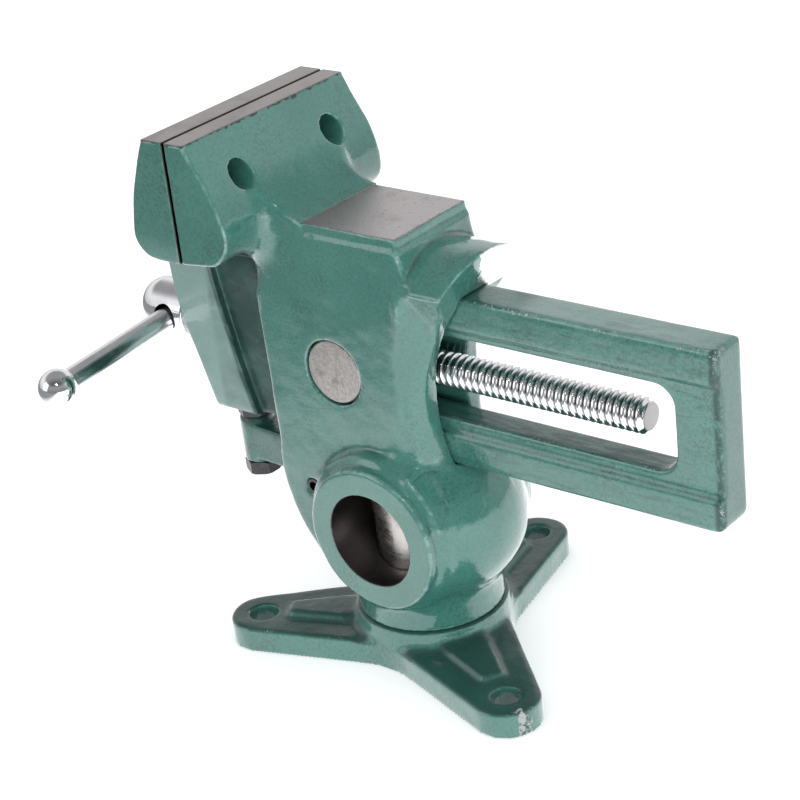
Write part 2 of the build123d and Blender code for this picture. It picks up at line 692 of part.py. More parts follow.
def lock_lever():
    """The lever: round nose for the bolt, web, pivot hub, and a heel that bears on the post."""
    nose = rod_z(0, lever_nose_place, lever_nose_radius, lever_nose_bottom, lever_nose_top)
    nose = chamfer(nose.edges().sort_by(Axis.Z)[-1], lever_chamfer)
    side = polygon((lever_nose_place, lever_web_bottom), (pivot_place, pivot_height - lever_hub_radius),
                   (-post_radius - lever_heel_depth, lever_heel_bottom), (0, lever_heel_bottom),
                   (0, lever_heel_top), (pivot_place, pivot_height + lever_hub_radius),
                   (lever_nose_place, lever_web_top))
    shape = prism(side, lever_half_width) + rod_x(pivot_place, pivot_height, lever_hub_radius,
                                                  -lever_half_width, lever_half_width)
    shape += nose
    shape -= rod_z(0, 0, post_radius + lever_heel_gap, 0, post_top)
    shape -= rod_x(pivot_place, pivot_height, pivot_radius + running_fit,
                   -lever_half_width - overrun, lever_half_width + overrun)
    return shape - rod_z(0, lever_nose_place, lock_bolt_radius + running_fit,
                         lever_nose_bottom - overrun, lever_nose_top + overrun)


def lock_pivot_pin():
    """A hollow pin across the casting."""
    pin = rod_x(pivot_place, pivot_height, pivot_radius, -pivot_half_length, pivot_half_length)
    return pin - rod_x(pivot_place, pivot_height, pivot_bore_radius,
                       -pivot_half_length - overrun, pivot_half_length + overrun)


def hexagon(flats, height):
    """A hexagonal prism, standing on the origin with its corners turned off at both ends."""
    shape = extrude(RegularPolygon(flats * corner_share, 6), height)
    blank = Pos(0, 0, height / 2) * Cylinder(flats * corner_share, height)
    return shape & chamfer(blank.edges().filter_by(GeomType.CIRCLE), hex_chamfer)


def lock_bolt():
    """The adjusting bolt, head down, its tip just clear of the slide."""
    head = Pos(0, lever_nose_place, lever_nose_bottom - lock_bolt_head_height - 2 * running_fit)
    shape = head * hexagon(lock_bolt_flats, lock_bolt_head_height)
    return shape + rod_z(0, lever_nose_place, lock_bolt_radius,
                         lever_nose_bottom - lock_bolt_head_height, lock_bolt_tip)


def lock_jam_nut():
    nut = Pos(0, lever_nose_place, lever_nose_top) * hexagon(lock_bolt_flats, jam_nut_height)
    return nut - rod_z(0, lever_nose_place, lock_bolt_radius + running_fit,
                       lever_nose_top - overrun, lever_nose_top + jam_nut_height + overrun)


def barrel_nut():
    """The round cross nut; its bore stands in for the thread and has the running clearance."""
    shape = rod_x(nut_place, screw_height, nut_radius, -nut_half_length, nut_half_length)
    shape = chamfer(shape.edges().filter_by(GeomType.CIRCLE), nut_chamfer)
    return shape - rod_y(0, screw_height, screw_bore_radius, nut_place - nut_radius - overrun,
                         nut_place + nut_radius + overrun)


os.makedirs("parts", exist_ok=True)
pieces = {
    "base": foot(),
    "post": post(),
    "post_bolt": post_bolt(),
    "post_washer": post_washer(),
    "vise_body": vise_body(),
    "barrel_nut": barrel_nut(),
    "lock_pivot_pin": lock_pivot_pin(),
    "moving_jaw": moving_jaw(),
    "keeper_screw": keeper_screw(),
    "lead_screw": lead_screw(),
    "screw_head": screw_head(),
    "head_pin": head_pin(),
    "thrust_washer": thrust_washer(),
    "handle_bar": handle_bar(),
    "handle_ball_near": handle_ball(1),
    "handle_ball_far": handle_ball(-1),
    "lock_lever": lock_lever(),
    "lock_bolt": lock_bolt(),
    "lock_jam_nut": lock_jam_nut(),
}
for name, shape in pieces.items():
    export_step(shape, "parts/" + name + ".step")
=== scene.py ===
import math

import bpy
import numpy as np
from mathutils import Matrix, Vector, noise
from mathutils.bvhtree import BVHTree


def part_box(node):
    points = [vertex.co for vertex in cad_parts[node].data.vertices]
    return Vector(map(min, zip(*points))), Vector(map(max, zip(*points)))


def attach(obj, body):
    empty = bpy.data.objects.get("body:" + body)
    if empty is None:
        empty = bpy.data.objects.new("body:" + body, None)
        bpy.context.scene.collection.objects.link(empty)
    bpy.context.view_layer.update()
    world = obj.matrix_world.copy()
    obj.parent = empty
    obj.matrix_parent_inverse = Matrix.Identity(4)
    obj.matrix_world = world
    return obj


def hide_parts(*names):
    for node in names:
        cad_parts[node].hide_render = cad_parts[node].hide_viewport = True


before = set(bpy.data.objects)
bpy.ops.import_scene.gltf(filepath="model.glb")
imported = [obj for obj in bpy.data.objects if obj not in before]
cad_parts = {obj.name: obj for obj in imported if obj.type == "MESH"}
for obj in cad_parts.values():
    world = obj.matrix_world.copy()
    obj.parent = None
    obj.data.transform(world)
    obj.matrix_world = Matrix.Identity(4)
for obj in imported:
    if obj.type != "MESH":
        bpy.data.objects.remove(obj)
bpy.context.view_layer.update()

# The studio
# A pale sweep of paper before a white wall, under broad soft lamps, as small tools are
# photographed. The camera stands off the back right corner of the vise, a little above it.

scene = bpy.context.scene
scene.view_settings.view_transform = "Standard"

camera_data = bpy.data.cameras.new("camera")
camera_data.sensor_width = 36.0
camera_data.lens = 97.513
camera_data.clip_start, camera_data.clip_end = 0.05, 20.0
camera = bpy.data.objects.new("camera", camera_data)
scene.collection.objects.link(camera)
stand = (0.54427, 0.47671, 0.45020)
sight = Vector((-0.6746, -0.5970, -0.4342)).normalized()
level = sight.cross(Vector((0, 0, 1))).normalized()
lift = level.cross(sight)
roll = math.radians(-6.85156)
side_way = level * math.cos(roll) + lift * math.sin(roll)
up_way = lift * math.cos(roll) - level * math.sin(roll)
camera.matrix_world = Matrix((
    (side_way.x, up_way.x, -sight.x, stand[0]),
    (side_way.y, up_way.y, -sight.y, stand[1]),
    (side_way.z, up_way.z, -sight.z, stand[2]),
    (0, 0, 0, 1)))
scene.camera = camera


def wire(tree, value, socket):
    """Links a node's output to a socket, or sets the socket to a plain number."""
    if isinstance(value, (int, float)):
        socket.default_value = value
    else:
        tree.links.new(value, socket)


def step(tree, operation, a, b=0.0):
    """One arithmetic step between two numbers of a shader."""
    made = tree.nodes.new("ShaderNodeMath")
    made.operation = operation
    wire(tree, a, made.inputs[0])
    wire(tree, b, made.inputs[1])
    return made.outputs[0]


def times(tree, number, *others):
    """Numbers of a shader multiplied together."""
    for other in others:
        number = step(tree, "MULTIPLY", number, other)
    return number


def plus(tree, number, *others):
    """Numbers of a shader added up."""
    for other in others:
        number = step(tree, "ADD", number, other)
    return number


def most(tree, number, *others):
    """The largest of some numbers of a shader."""
    for other in others:
        number = step(tree, "MAXIMUM", number, other)
    return number


def rise(tree, value, low, high, bottom=0.0, top=1.0):
    """A smooth rise from bottom to top as the value goes from low to high."""
    made = tree.nodes.new("ShaderNodeMapRange")
    made.interpolation_type = "SMOOTHSTEP"
    wire(tree, value, made.inputs["Value"])
    made.inputs["From Min"].default_value, made.inputs["From Max"].default_value = low, high
    made.inputs["To Min"].default_value, made.inputs["To Max"].default_value = bottom, top
    return made.outputs[0]


def tint(tree, factor, a, b):
    """A colour between a and b."""
    made = tree.nodes.new("ShaderNodeMix")
    made.data_type = "RGBA"
    wire(tree, factor, made.inputs[0])
    for socket, value in ((made.inputs[6], a), (made.inputs[7], b)):
        if isinstance(value, tuple):
            socket.default_value = (*value, 1)
        else:
            tree.links.new(value, socket)
    return made.outputs[2]


def along(tree, vector, way):
    """How far a vector reaches in one direction."""
    made = tree.nodes.new("ShaderNodeVectorMath")
    made.operation = "DOT_PRODUCT"
    made.inputs[1].default_value = way
    tree.links.new(vector, made.inputs[0])
    return made.outputs["Value"]


def apart(tree, vector):
    """The x, y and z of a vector."""
    made = tree.nodes.new("ShaderNodeSeparateXYZ")
    tree.links.new(vector, made.inputs[0])
    return made.outputs


half_sheet, below_foot = 6.0, 0.0003
corners = [(a * half_sheet, b * half_sheet, 0) for a, b in ((-1, -1), (1, -1), (1, 1), (-1, 1))]
paper_mesh = bpy.data.meshes.new("paper")
paper_mesh.from_pydata(corners, [], [(0, 1, 2, 3)])
paper = bpy.data.objects.new("paper", paper_mesh)
scene.collection.objects.link(paper)
paper.location.z = -below_foot
paper_look = bpy.data.materials.new("paper")
paper_look.use_nodes = True
paper_shader = paper_look.node_tree.nodes["Principled BSDF"]
paper_shader.inputs["Roughness"].default_value = 1.0
paper_shader.inputs["Specular IOR Level"].default_value = 0.0
paper_shader.inputs["Emission Color"].default_value = (1, 1, 1, 1)
sheet = paper_look.node_tree
spot_on_sheet = sheet.nodes.new("ShaderNodeTexCoord").outputs["Object"]
lit_part = rise(sheet, along(sheet, spot_on_sheet, (0.7, -0.7, 0)), 0.36, 0.15)
dim_paper, lit_paper = (0.30, 0.30, 0.30), (0.94, 0.945, 0.95)
sheet.links.new(tint(sheet, lit_part, dim_paper, lit_paper), paper_shader.inputs["Base Color"])
sheet_rays = sheet.nodes.new("ShaderNodeLightPath").outputs
sheet_seen = most(sheet, sheet_rays["Is Camera Ray"], sheet_rays["Is Transmission Ray"])
plain_glow = times(sheet, sheet_seen, plus(sheet, times(sheet, lit_part, -0.61), 0.90))
mirrored_glow = times(sheet, sheet_rays["Is Glossy Ray"], lit_part, 0.62)
glow = most(sheet, plain_glow, mirrored_glow)
sheet.links.new(glow, paper_shader.inputs["Emission Strength"])
paper_mesh.materials.append(paper_look)

world = bpy.data.worlds.new("studio")
scene.world = world
world.use_nodes = True
room = world.node_tree
fill = room.nodes["Background"]
fill.inputs["Color"].default_value = (0.97, 0.99, 1.0, 1)
fill.inputs["Strength"].default_value = 0.85
wall = room.nodes.new("ShaderNodeBackground")
wall.inputs["Color"].default_value = (1.0, 0.99, 1.0, 1)
direction = room.nodes.new("ShaderNodeTexCoord").outputs["Generated"]
towards_camera = along(room, direction, (0.75, 0.66, 0))
height_in_room = apart(room, direction)[2]
open_side = rise(room, towards_camera, -0.1, 0.7, 1.0, 0.35)
low_wall = rise(room, height_in_room, 0.0, 0.38, 0.72, 1.0)
dim_ceiling = rise(room, height_in_room, 0.45, 0.72, 0.92, 0.32)
mirrored_wall = times(room, open_side, low_wall, dim_ceiling)
room_rays = room.nodes.new("ShaderNodeLightPath").outputs
room_seen = most(room, room_rays["Is Camera Ray"], room_rays["Is Transmission Ray"])
room.links.new(most(room, mirrored_wall, room_seen), wall.inputs["Strength"])
either = room.nodes.new("ShaderNodeMixShader")
room.links.new(most(room, room_seen, room_rays["Is Glossy Ray"]), either.inputs["Fac"])
room.links.new(fill.outputs[0], either.inputs[1])
room.links.new(wall.outputs[0], either.inputs[2])
room.links.new(either.outputs[0], room.nodes["World Output"].inputs["Surface"])


def softbox(name, place, aim, width, height, power, mirrored=True):
    """A rectangular soft lamp at a place, turned towards a point."""
    data = bpy.data.lights.new(name, "AREA")
    data.shape = "RECTANGLE"
    data.size, data.size_y = width, height
    data.energy = power
    lamp = bpy.data.objects.new(name, data)
    scene.collection.objects.link(lamp)
    lamp.location = place
    lamp.rotation_euler = (Vector(aim) - Vector(place)).to_track_quat("-Z", "Y").to_euler()
    lamp.visible_glossy = mirrored


softbox("top_lamp", (-0.15, -0.25, 1.20), (0, 0, 0.1), 0.9, 0.9, 1.6, mirrored=False)
softbox("camera_lamp", (0.72, 0.55, 1.05), (0, 0, 0.1), 0.14, 0.14, 1.1)
softbox("left_lamp", (1.15, -0.75, 0.60), (0, 0, 0.1), 0.7, 0.9, 2.0)
softbox("right_lamp", (0.2, 1.25, 0.60), (0, 0, 0.1), 0.9, 0.6, 1.4, mirrored=False)
softbox("low_lamp", (0.55, 0.65, 0.10), (0, 0, 0.07), 0.5, 0.16, 3.2, mirrored=False)

# The foot
# One grey iron casting with three arms round a hub, drilled for its bolts, under a thick coat
# of grey-green enamel that rounds every corner and gathers in the hollows.


def skin_of(node, voxel):
    """A casting's skin as an even net of small faces, with each point's neighbours."""
    rough = bpy.data.objects.new(node + "_rough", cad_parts[node].data.copy())
    scene.collection.objects.link(rough)
    wrap = rough.modifiers.new("wrap", "REMESH")
    wrap.mode = "VOXEL"
    wrap.voxel_size = voxel
    net = bpy.data.meshes.new_from_object(rough.evaluated_get(bpy.context.evaluated_depsgraph_get()))
    bpy.data.objects.remove(rough)
    net.materials.clear()
    size = len(net.vertices)
    points = np.empty(3 * size, np.float64)
    net.vertices.foreach_get("co", points)
    ends = np.empty(2 * len(net.edges), np.int32)
    net.edges.foreach_get("vertices", ends)
    ends = ends.reshape(-1, 2)
    pairs = np.concatenate([ends, ends[:, ::-1]])
    pairs = pairs[np.argsort(pairs[:, 0], kind="stable")]
    count = np.bincount(pairs[:, 0], minlength=size)
    start = np.concatenate([[0], np.cumsum(count)[:-1]])
    table = np.repeat(np.arange(size)[:, None], count.max(), axis=1)
    table[pairs[:, 0], np.arange(len(pairs)) - start[pairs[:, 0]]] = pairs[:, 1]
    return net, points.reshape(-1, 3), (table, count)


def settle(points, near, weight, rounds):
    """Draws points towards the middle of their neighbours, each as far as its weight says."""
    table, count = near
    some = np.nonzero(weight > 0.01)[0]
    full_share = 0.6
    ring, many, share = table[some], count[some][:, None], full_share * weight[some][:, None]
    spare = ring.shape[1] - many
    for _ in range(rounds):
        own = points[some]
        points[some] = own + share * ((points[ring].sum(1) - spare * own) / many - own)


def band(value, low, high):
    """0 at low and 1 at high, smooth in between; high may be the lower of the two."""
    t = np.clip((value - low) / (high - low), 0, 1)
    return t * t * (3 - 2 * t)


def back_on(points, node, weight):
    """Puts machined faces back on the surface of the solid."""
    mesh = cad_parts[node].data
    tree = BVHTree.FromPolygons([v.co for v in mesh.vertices], [p.vertices[:] for p in mesh.polygons])
    for i in np.nonzero(weight > 0.01)[0]:
        place = tree.find_nearest(Vector(points[i]))[0]
        points[i] += weight[i] * (np.array(place) - points[i])


def outward(net, points):
    """Moves the net to the points and gives the direction out of the surface at each."""
    net.vertices.foreach_set("co", points.ravel())
    net.update()
    normals = np.empty(3 * len(points))
    net.vertex_normals.foreach_get("vector", normals)
    return normals.reshape(-1, 3)


def inside(points, node):
    """Keeps a casting within its solid's own box."""
    low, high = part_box(node)
    np.clip(points, low, high, out=points)


def ripple(net, points, weight, waves, sag=1.0):
    """The slow waves of sand-cast iron under thick paint, from (size, depth) pairs in metres.

    Paint that has run down has its waves drawn out upright, sag times.
    """
    out = outward(net, points)
    some = np.nonzero(weight > 0.01)[0]
    where = points[some] / (1, 1, sag)
    lift_by = np.zeros(len(points))
    for size, depth in waves:
        lift_by[some] += depth * np.array([noise.noise(Vector(p)) for p in where / size])
    points += (weight * lift_by)[:, None] * out


def finished(name, net, points, near):
    """The casting as an object; "rim" says how far each point stands out or lies in a corner."""
    out = outward(net, points)
    eased = points.copy()
    settle(eased, near, np.ones(len(points)), rounds=6)
    sharp_edge = 0.00012
    rim = ((points - eased) * out).sum(1) / sharp_edge
    mark = net.attributes.new("rim", "FLOAT", "POINT")
    mark.data.foreach_set("value", np.clip(rim, -1, 1).astype(np.float32))
    net.polygons.foreach_set("use_smooth", np.ones(len(net.polygons), bool))
    piece = bpy.data.objects.new(name, net)
    scene.collection.objects.link(piece)
    return piece


def speckle(tree, place, size, detail=2.0, rough=0.5):
    """Noise whose patches are about this size in metres."""
    made = tree.nodes.new("ShaderNodeTexNoise")
    tree.links.new(place, made.inputs["Vector"])
    made.inputs["Scale"].default_value = 1 / size
    made.inputs["Detail"].default_value = detail
    made.inputs["Roughness"].default_value = rough
    return made.outputs["Fac"]


def between(tree, factor, a, b):
    """A number between a and b."""
    made = tree.nodes.new("ShaderNodeMix")
    for socket, value in zip(made.inputs[:1] + made.inputs[2:4], (factor, a, b)):
        wire(tree, value, socket)
    return made.outputs[0]


def fresh_look(name):
    """A new material: itself, its tree, its shader and the place on the piece."""
    look = bpy.data.materials.new(name)
    look.use_nodes = True
    tree = look.node_tree
    place = tree.nodes.new("ShaderNodeTexCoord").outputs["Object"]
    return look, tree, tree.nodes["Principled BSDF"], place


def relief(tree, shader, height):
    """Fine relief from a height in metres."""
    bump = tree.nodes.new("ShaderNodeBump")
    bump.inputs["Distance"].default_value = 1.0
    bump.inputs["Strength"].default_value = 1.0
    tree.links.new(height, bump.inputs["Height"])
    tree.links.new(bump.outputs[0], shader.inputs["Normal"])
    tree.links.new(bump.outputs[0], shader.inputs["Coat Normal"])


def drawn_out(tree, place, scale):
    """The place on the piece, squeezed so that what is laid on it comes out long."""
    made = tree.nodes.new("ShaderNodeMapping")
    made.inputs["Scale"].default_value = scale
    tree.links.new(place, made.inputs["Vector"])
    return made.outputs[0]


def facing_up(tree):
    """1 on level tops, 0 on upright sides."""
    return apart(tree, tree.nodes.new("ShaderNodeNewGeometry").outputs["Normal"])[2]


green, fresh_green = (0.040, 0.158, 0.130), (0.050, 0.180, 0.148)
specked_green, smeared_green = (0.020, 0.075, 0.063), (0.026, 0.055, 0.048)
grime_and_shade_green, sheen_green, thin_paint_highlight_green = (0.012, 0.040, 0.034), (0.30, 0.42, 0.40), (0.26, 0.40, 0.37)
dark_primer, pale_primer = (0.030, 0.040, 0.037), (0.36, 0.38, 0.37)
ground_iron, bright_iron = (0.46, 0.44, 0.44), (0.62, 0.59, 0.59)
stained_iron, brown_iron = (0.30, 0.265, 0.25), (0.26, 0.235, 0.225)
pitted_iron, shaded_iron = (0.08, 0.07, 0.065), (0.045, 0.040, 0.037)
polished_iron, mirror_iron = (0.70, 0.74, 0.73), (0.86, 0.88, 0.88)


def enamel(name, smooth, rough, soiled, edge_highlight, dirt_and_shade, ground=None, chipped=None, sheen=None):
    """Grey-green enamel on iron: how rough, how soiled, how strong the painted highlight on its edges.

    Further functions give dirt and painted shade, the faces machined bare, the wear, and a painted
    sheen of paler paint.
    """
    look, tree, shader, place = fresh_look(name)
    x, y, z = apart(tree, place)
    stored = tree.nodes.new("ShaderNodeAttribute")
    stored.attribute_name = "rim"
    rim = stored.outputs["Fac"]

    clouds = speckle(tree, place, 0.030, 3.0)
    grain = speckle(tree, place, 0.0011, 3.0, 0.65)
    paint = tint(tree, rise(tree, clouds, 0.35, 0.65), green, fresh_green)
    paint = tint(tree, rise(tree, grain, 0.42, 0.70, 0.0, soiled), paint, specked_green)
    smears = times(tree, rise(tree, speckle(tree, place, 0.020, 4.0, 0.6), 0.50, 0.66),
                   rise(tree, speckle(tree, place, 0.0011, 3.0, 0.7), 0.42, 0.66), soiled)
    paint = tint(tree, smears, paint, smeared_green)
    # Paler paint where the piece marks a painted sheen.
    if sheen is not None:
        paint = tint(tree, sheen(tree, place, x, y, z), paint, sheen_green)
    # Pale rims: thin paint on the edges and a painted highlight along them.
    thin_paint_and_highlight = times(tree, rise(tree, rim, 0.70, 1.0),
                 rise(tree, speckle(tree, place, 0.003), 0.42, 0.62, 0.15 * edge_highlight, edge_highlight))
    paint = tint(tree, thin_paint_and_highlight, paint, thin_paint_highlight_green)
    # Darker in the corners, as dirt and painted shade, and where the piece's own marks of dirt and painted
    # shade lie.
    grime_and_shade = times(tree, rise(tree, rim, -0.15, -0.8),
                  rise(tree, speckle(tree, place, 0.009), 0.35, 0.65, 0.1, 0.6))
    soot_and_shade = dirt_and_shade(tree, place, x, y, z)
    paint = tint(tree, most(tree, grime_and_shade, soot_and_shade), paint, grime_and_shade_green)

    flaking = speckle(tree, place, 0.0022, 4.0, 0.7)
    worn = times(tree, rise(tree, rim, 0.55, 0.9), rise(tree, flaking, 0.64, 0.68))
    if chipped is not None:
        worn = most(tree, worn, chipped(tree, place, x, y, z, rim, flaking))
    primer = tint(tree, rise(tree, speckle(tree, place, 0.0016), 0.36, 0.50), dark_primer, pale_primer)
    colour = tint(tree, worn, paint, primer)
    roughness = between(tree, worn, rise(tree, clouds, 0.3, 0.7, smooth, rough), 0.55)

    peel = times(tree, speckle(tree, place, 0.0042), 0.00014)
    strokes = speckle(tree, drawn_out(tree, place, (1.0, 0.35, 1.6)), 0.0011, 1.0)
    brushed = times(tree, strokes, 0.000045, rise(tree, clouds, 0.40, 0.60))
    sand = times(tree, speckle(tree, place, 0.0009, 2.0, 0.6), 0.000030)
    pits = rise(tree, speckle(tree, place, 0.0016, 1.0), 0.24, 0.20, 0.0, -0.00005)
    height = plus(tree, peel, brushed, sand, pits, times(tree, worn, -0.00008))
    uncoated = most(tree, worn, times(tree, soot_and_shade, 0.9))
    if ground is not None:
        bare, shaded, polished = ground(tree, place, x, y, z)
        fine = speckle(tree, place, 0.0007, 3.0, 0.6)
        stain = speckle(tree, place, 0.018, 4.0, 0.6)
        specks = rise(tree, speckle(tree, place, 0.0016, 3.0, 0.6), 0.66, 0.70, 0.0, 0.8)
        along_pad = plus(tree, times(tree, x, -0.6), y, times(tree, stain, 0.03))
        iron = tint(tree, rise(tree, fine, 0.35, 0.65), ground_iron, bright_iron)
        iron = tint(tree, rise(tree, stain, 0.48, 0.72, 0.0, 0.75), iron, stained_iron)
        iron = tint(tree, specks, iron, pitted_iron)
        iron = tint(tree, rise(tree, along_pad, 0.022, -0.022, 0.0, 0.55), iron, brown_iron)
        guide_iron = tint(tree, rise(tree, fine, 0.35, 0.65), polished_iron, mirror_iron)
        iron = tint(tree, polished, iron, guide_iron)
        # Painted shade on the bare iron where the ground function says.
        iron = tint(tree, shaded, iron, shaded_iron)
        colour = tint(tree, bare, colour, iron)
        roughness = between(tree, bare, roughness, rise(tree, fine, 0.3, 0.7, 0.30, 0.42))
        height = times(tree, height, between(tree, bare, 1.0, 0.08))
        tree.links.new(bare, shader.inputs["Metallic"])
        uncoated = most(tree, bare, uncoated)
    relief(tree, shader, height)
    tree.links.new(colour, shader.inputs["Base Color"])
    tree.links.new(roughness, shader.inputs["Roughness"])
    tree.links.new(step(tree, "SUBTRACT", 1.0, uncoated), shader.inputs["Coat Weight"])
    shader.inputs["Coat Roughness"].default_value = smooth * 0.5
    return look


def foot_top_shade(tree, place, x, y, z):
    """Painted shade on the tops of the foot, under the vise."""
    return times(tree, rise(tree, facing_up(tree), 0.30, 0.80),
                 rise(tree, speckle(tree, place, 0.025, 3.0), 0.3, 0.7, 0.72, 0.88))


def foot_chips(tree, place, x, y, z, rim, flaking):
    """The knocked tip of one arm: one chip that runs down its edge."""
    shorter = 0.16
    from_chip = tree.nodes.new("ShaderNodeVectorMath")
    from_chip.operation = "DISTANCE"
    tree.links.new(drawn_out(tree, place, (1, 1, shorter)), from_chip.inputs[0])
    from_chip.inputs[1].default_value = (0.0402, 0.0712, 0.005625 * shorter)
    ragged = times(tree, step(tree, "SUBTRACT", flaking, 0.5), 0.012)
    return rise(tree, plus(tree, from_chip.outputs["Value"], ragged), 0.0024, 0.0018)


# In the castings' masks each band says, in millimetres, where it starts and where it is full.
arm_bolts_reach = 68.2
arm_angles = np.radians([60, 180, 300])
foot_net, foot_points, foot_near = skin_of("base", voxel=0.00055)
px, py, pz = (foot_points * 1000).T
from_post = np.hypot(px, py)
from_bolt = np.min([np.hypot(px - arm_bolts_reach * math.cos(a), py - arm_bolts_reach * math.sin(a))
                    for a in arm_angles], axis=0)
foot_free = band(pz, 0.3, 1.2) * band(from_post, 18.7, 20.5)
settle(foot_points, foot_near, foot_free, rounds=9)
tongue = foot_free * band(from_post, 36.5, 34.5) * band(pz, 17.2, 16.2) * band(pz, 8.5, 9.8)
settle(foot_points, foot_near, tongue, rounds=24)
foot_cast = foot_free * band(from_bolt, 5.5, 8.0) * band(pz, 17.4, 17.0)
ripple(foot_net, foot_points, foot_cast, ((0.011, 0.00016), (0.004, 0.00005)))
inside(foot_points, "base")
foot = finished("foot_casting", foot_net, foot_points, foot_near)
foot_look = enamel("foot_enamel", smooth=0.12, rough=0.30, soiled=0.45, edge_highlight=0.10, dirt_and_shade=foot_top_shade,
                   chipped=foot_chips)
foot_net.materials.append(foot_look)
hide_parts("base")
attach(foot, "foot")

# The post and its bolt
# A turned steel bar stands in the hub, bright where the casting turns on it. A socket-head
# bolt with a washer, blackened, draws it down from under the foot.


def turned_steel(name, light, dark, rough, stretch=(1, 1, 1), cut=0.000004):
    """Bare steel with fine tool marks, drawn out where the stretch is small."""
    look, tree, shader, place = fresh_look(name)
    marks = speckle(tree, drawn_out(tree, place, stretch), 0.0008, 3.0, 0.6)
    stain = speckle(tree, place, 0.007, 4.0, 0.6)
    shade = tint(tree, rise(tree, marks, 0.35, 0.65), dark, light)
    stained = tuple(c * 0.62 for c in dark)
    shade = tint(tree, rise(tree, stain, 0.52, 0.72, 0.0, 0.6), shade, stained)
    tree.links.new(shade, shader.inputs["Base Color"])
    shader.inputs["Metallic"].default_value = 1.0
    tree.links.new(rise(tree, marks, 0.3, 0.7, rough * 0.8, rough * 1.3), shader.inputs["Roughness"])
    relief(tree, shader, times(tree, marks, cut))
    return look


def dress(node, look):
    """Gives a solid of the frame its finish."""
    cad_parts[node].material_slots[0].material = look


rubbed_steel, rubbed_dark = (0.60, 0.57, 0.55), (0.50, 0.475, 0.46)
dress("post", turned_steel("post_steel", rubbed_steel, rubbed_dark, rough=0.30,
                           stretch=(0.15, 0.15, 1), cut=0.0000005))
dress("post_washer", turned_steel("washer_steel", (0.50, 0.48, 0.47), (0.36, 0.34, 0.33), rough=0.36))
dress("post_bolt", turned_steel("black_steel", (0.075, 0.072, 0.075), (0.045, 0.042, 0.044), rough=0.40))

# The vise casting
# One iron casting: fixed jaw, anvil pad, slab, hooded guide, round housing with the side
# socket. Only the jaw's faces, the pad, the boss bores and the cross hole are machined bare.

socket_height, socket_bore = 56.8, 18.95
nut_along, screw_height = -16.5, 118.1
jaw_hole_out, jaw_hole_height = 25.2, 192.6
scoop_radius, scoop_along, scoop_height = 62.0, 83.0, 109.5
bare_top_from, bare_top_full = 0.20790, 0.20805

body_net, body_points, body_near = skin_of("vise_body", voxel=0.0006)
px, py, pz = (body_points * 1000).T
side = np.abs(px)
from_post = np.hypot(px, py)
from_socket = np.hypot(py, pz - socket_height)
from_nut = np.hypot(py - nut_along, pz - screw_height)
bored = np.maximum.reduce([
    band(from_socket, 19.6, 19.0), band(from_nut, 13.9, 13.4) * band(side, 23, 22.5),
    band(from_post, 19.4, 18.9) * band(pz, 80.5, 79.8)])
pad_top = band(pz, 175.0, 175.4) * band(py, -24.0, -23.0) * band(pz, 176.4, 176.0)
machined = np.maximum.reduce([bored, pad_top, band(pz, 207.2, 207.8), band(py, -61.9, -62.2)])
free = (1 - machined) * band(pz, 17.8, 18.6)
settle(body_points, body_near, free, rounds=6)

# Thick paint rounds the scooped flanks beside the guide, the hollow round the socket's ring and
# the hollow over the neck.
scoop = scoop_along - np.sqrt(np.clip(scoop_radius ** 2 - (pz - scoop_height) ** 2, 1, None))
flank = (band(scoop - py, 1.0, 3.6) * band(pz, 155.5, 151.0) * band(pz, 84, 90) * band(py, 3, 8)
         * band(side, 9.8, 11.2))
settle(body_points, body_near, free * flank, rounds=24)
ring = (band(from_socket, 27.5, 30) * band(from_socket, 42, 37) * band(side, 29.5, 28.0)
        * band(side, 12, 17))
settle(body_points, body_near, free * ring, rounds=9)
neck = band(pz, 48, 38) * band(pz, 18.5, 21) * band(from_post, 40, 34) * band(side, 31, 28)
settle(body_points, body_near, free * neck, rounds=90)

# Below the guide the round housing grows out of the slab in one soft sweep.
lower = (band(pz, 97, 90) * band(pz, 30, 40) * band(py, 2, 9) * band(side, 29.0, 27.5)
         * np.maximum(band(side, 8.3, 9.6), band(pz, 79, 76)))
settle(body_points, body_near, free * lower, rounds=40)
heel = band(pz, 104, 94) * band(pz, 66, 73) * band(py, 4, 11) * band(side, 27, 24) * band(side, 8.8, 10.0)
settle(body_points, body_near, free * heel, rounds=120)

# The fixed jaw runs down to the pad and under its own ends in wide hollows; its holes stay true.
round_holes = band(np.hypot(side - jaw_hole_out, pz - jaw_hole_height), 6.2, 10.5)
saddle = (band(pz, 161, 167) * band(pz, 205, 190) * band(py, -23.2, -31) * band(py, -61, -54)
          * band(side, 44, 32) * round_holes)
settle(body_points, body_near, free * saddle, rounds=24)
under_wing = (band(pz, 143, 154) * band(pz, 176, 167) * band(py, -20, -32) * band(py, -60, -54)
              * band(side, 17, 20) * band(side, 43, 33))
settle(body_points, body_near, free * under_wing, rounds=260)

# Machined faces go back in place, and the bore for the post opens by a hair to clear it.
back_on(body_points, "vise_body", machined)
around = np.hypot(body_points[:, 0], body_points[:, 1]) * 1000
sleeve = band(around, 19.4, 18.9) * band(body_points[:, 2] * 1000, 80.5, 79.8)
body_points[:, :2] *= (1 + 0.012 * sleeve)[:, None]

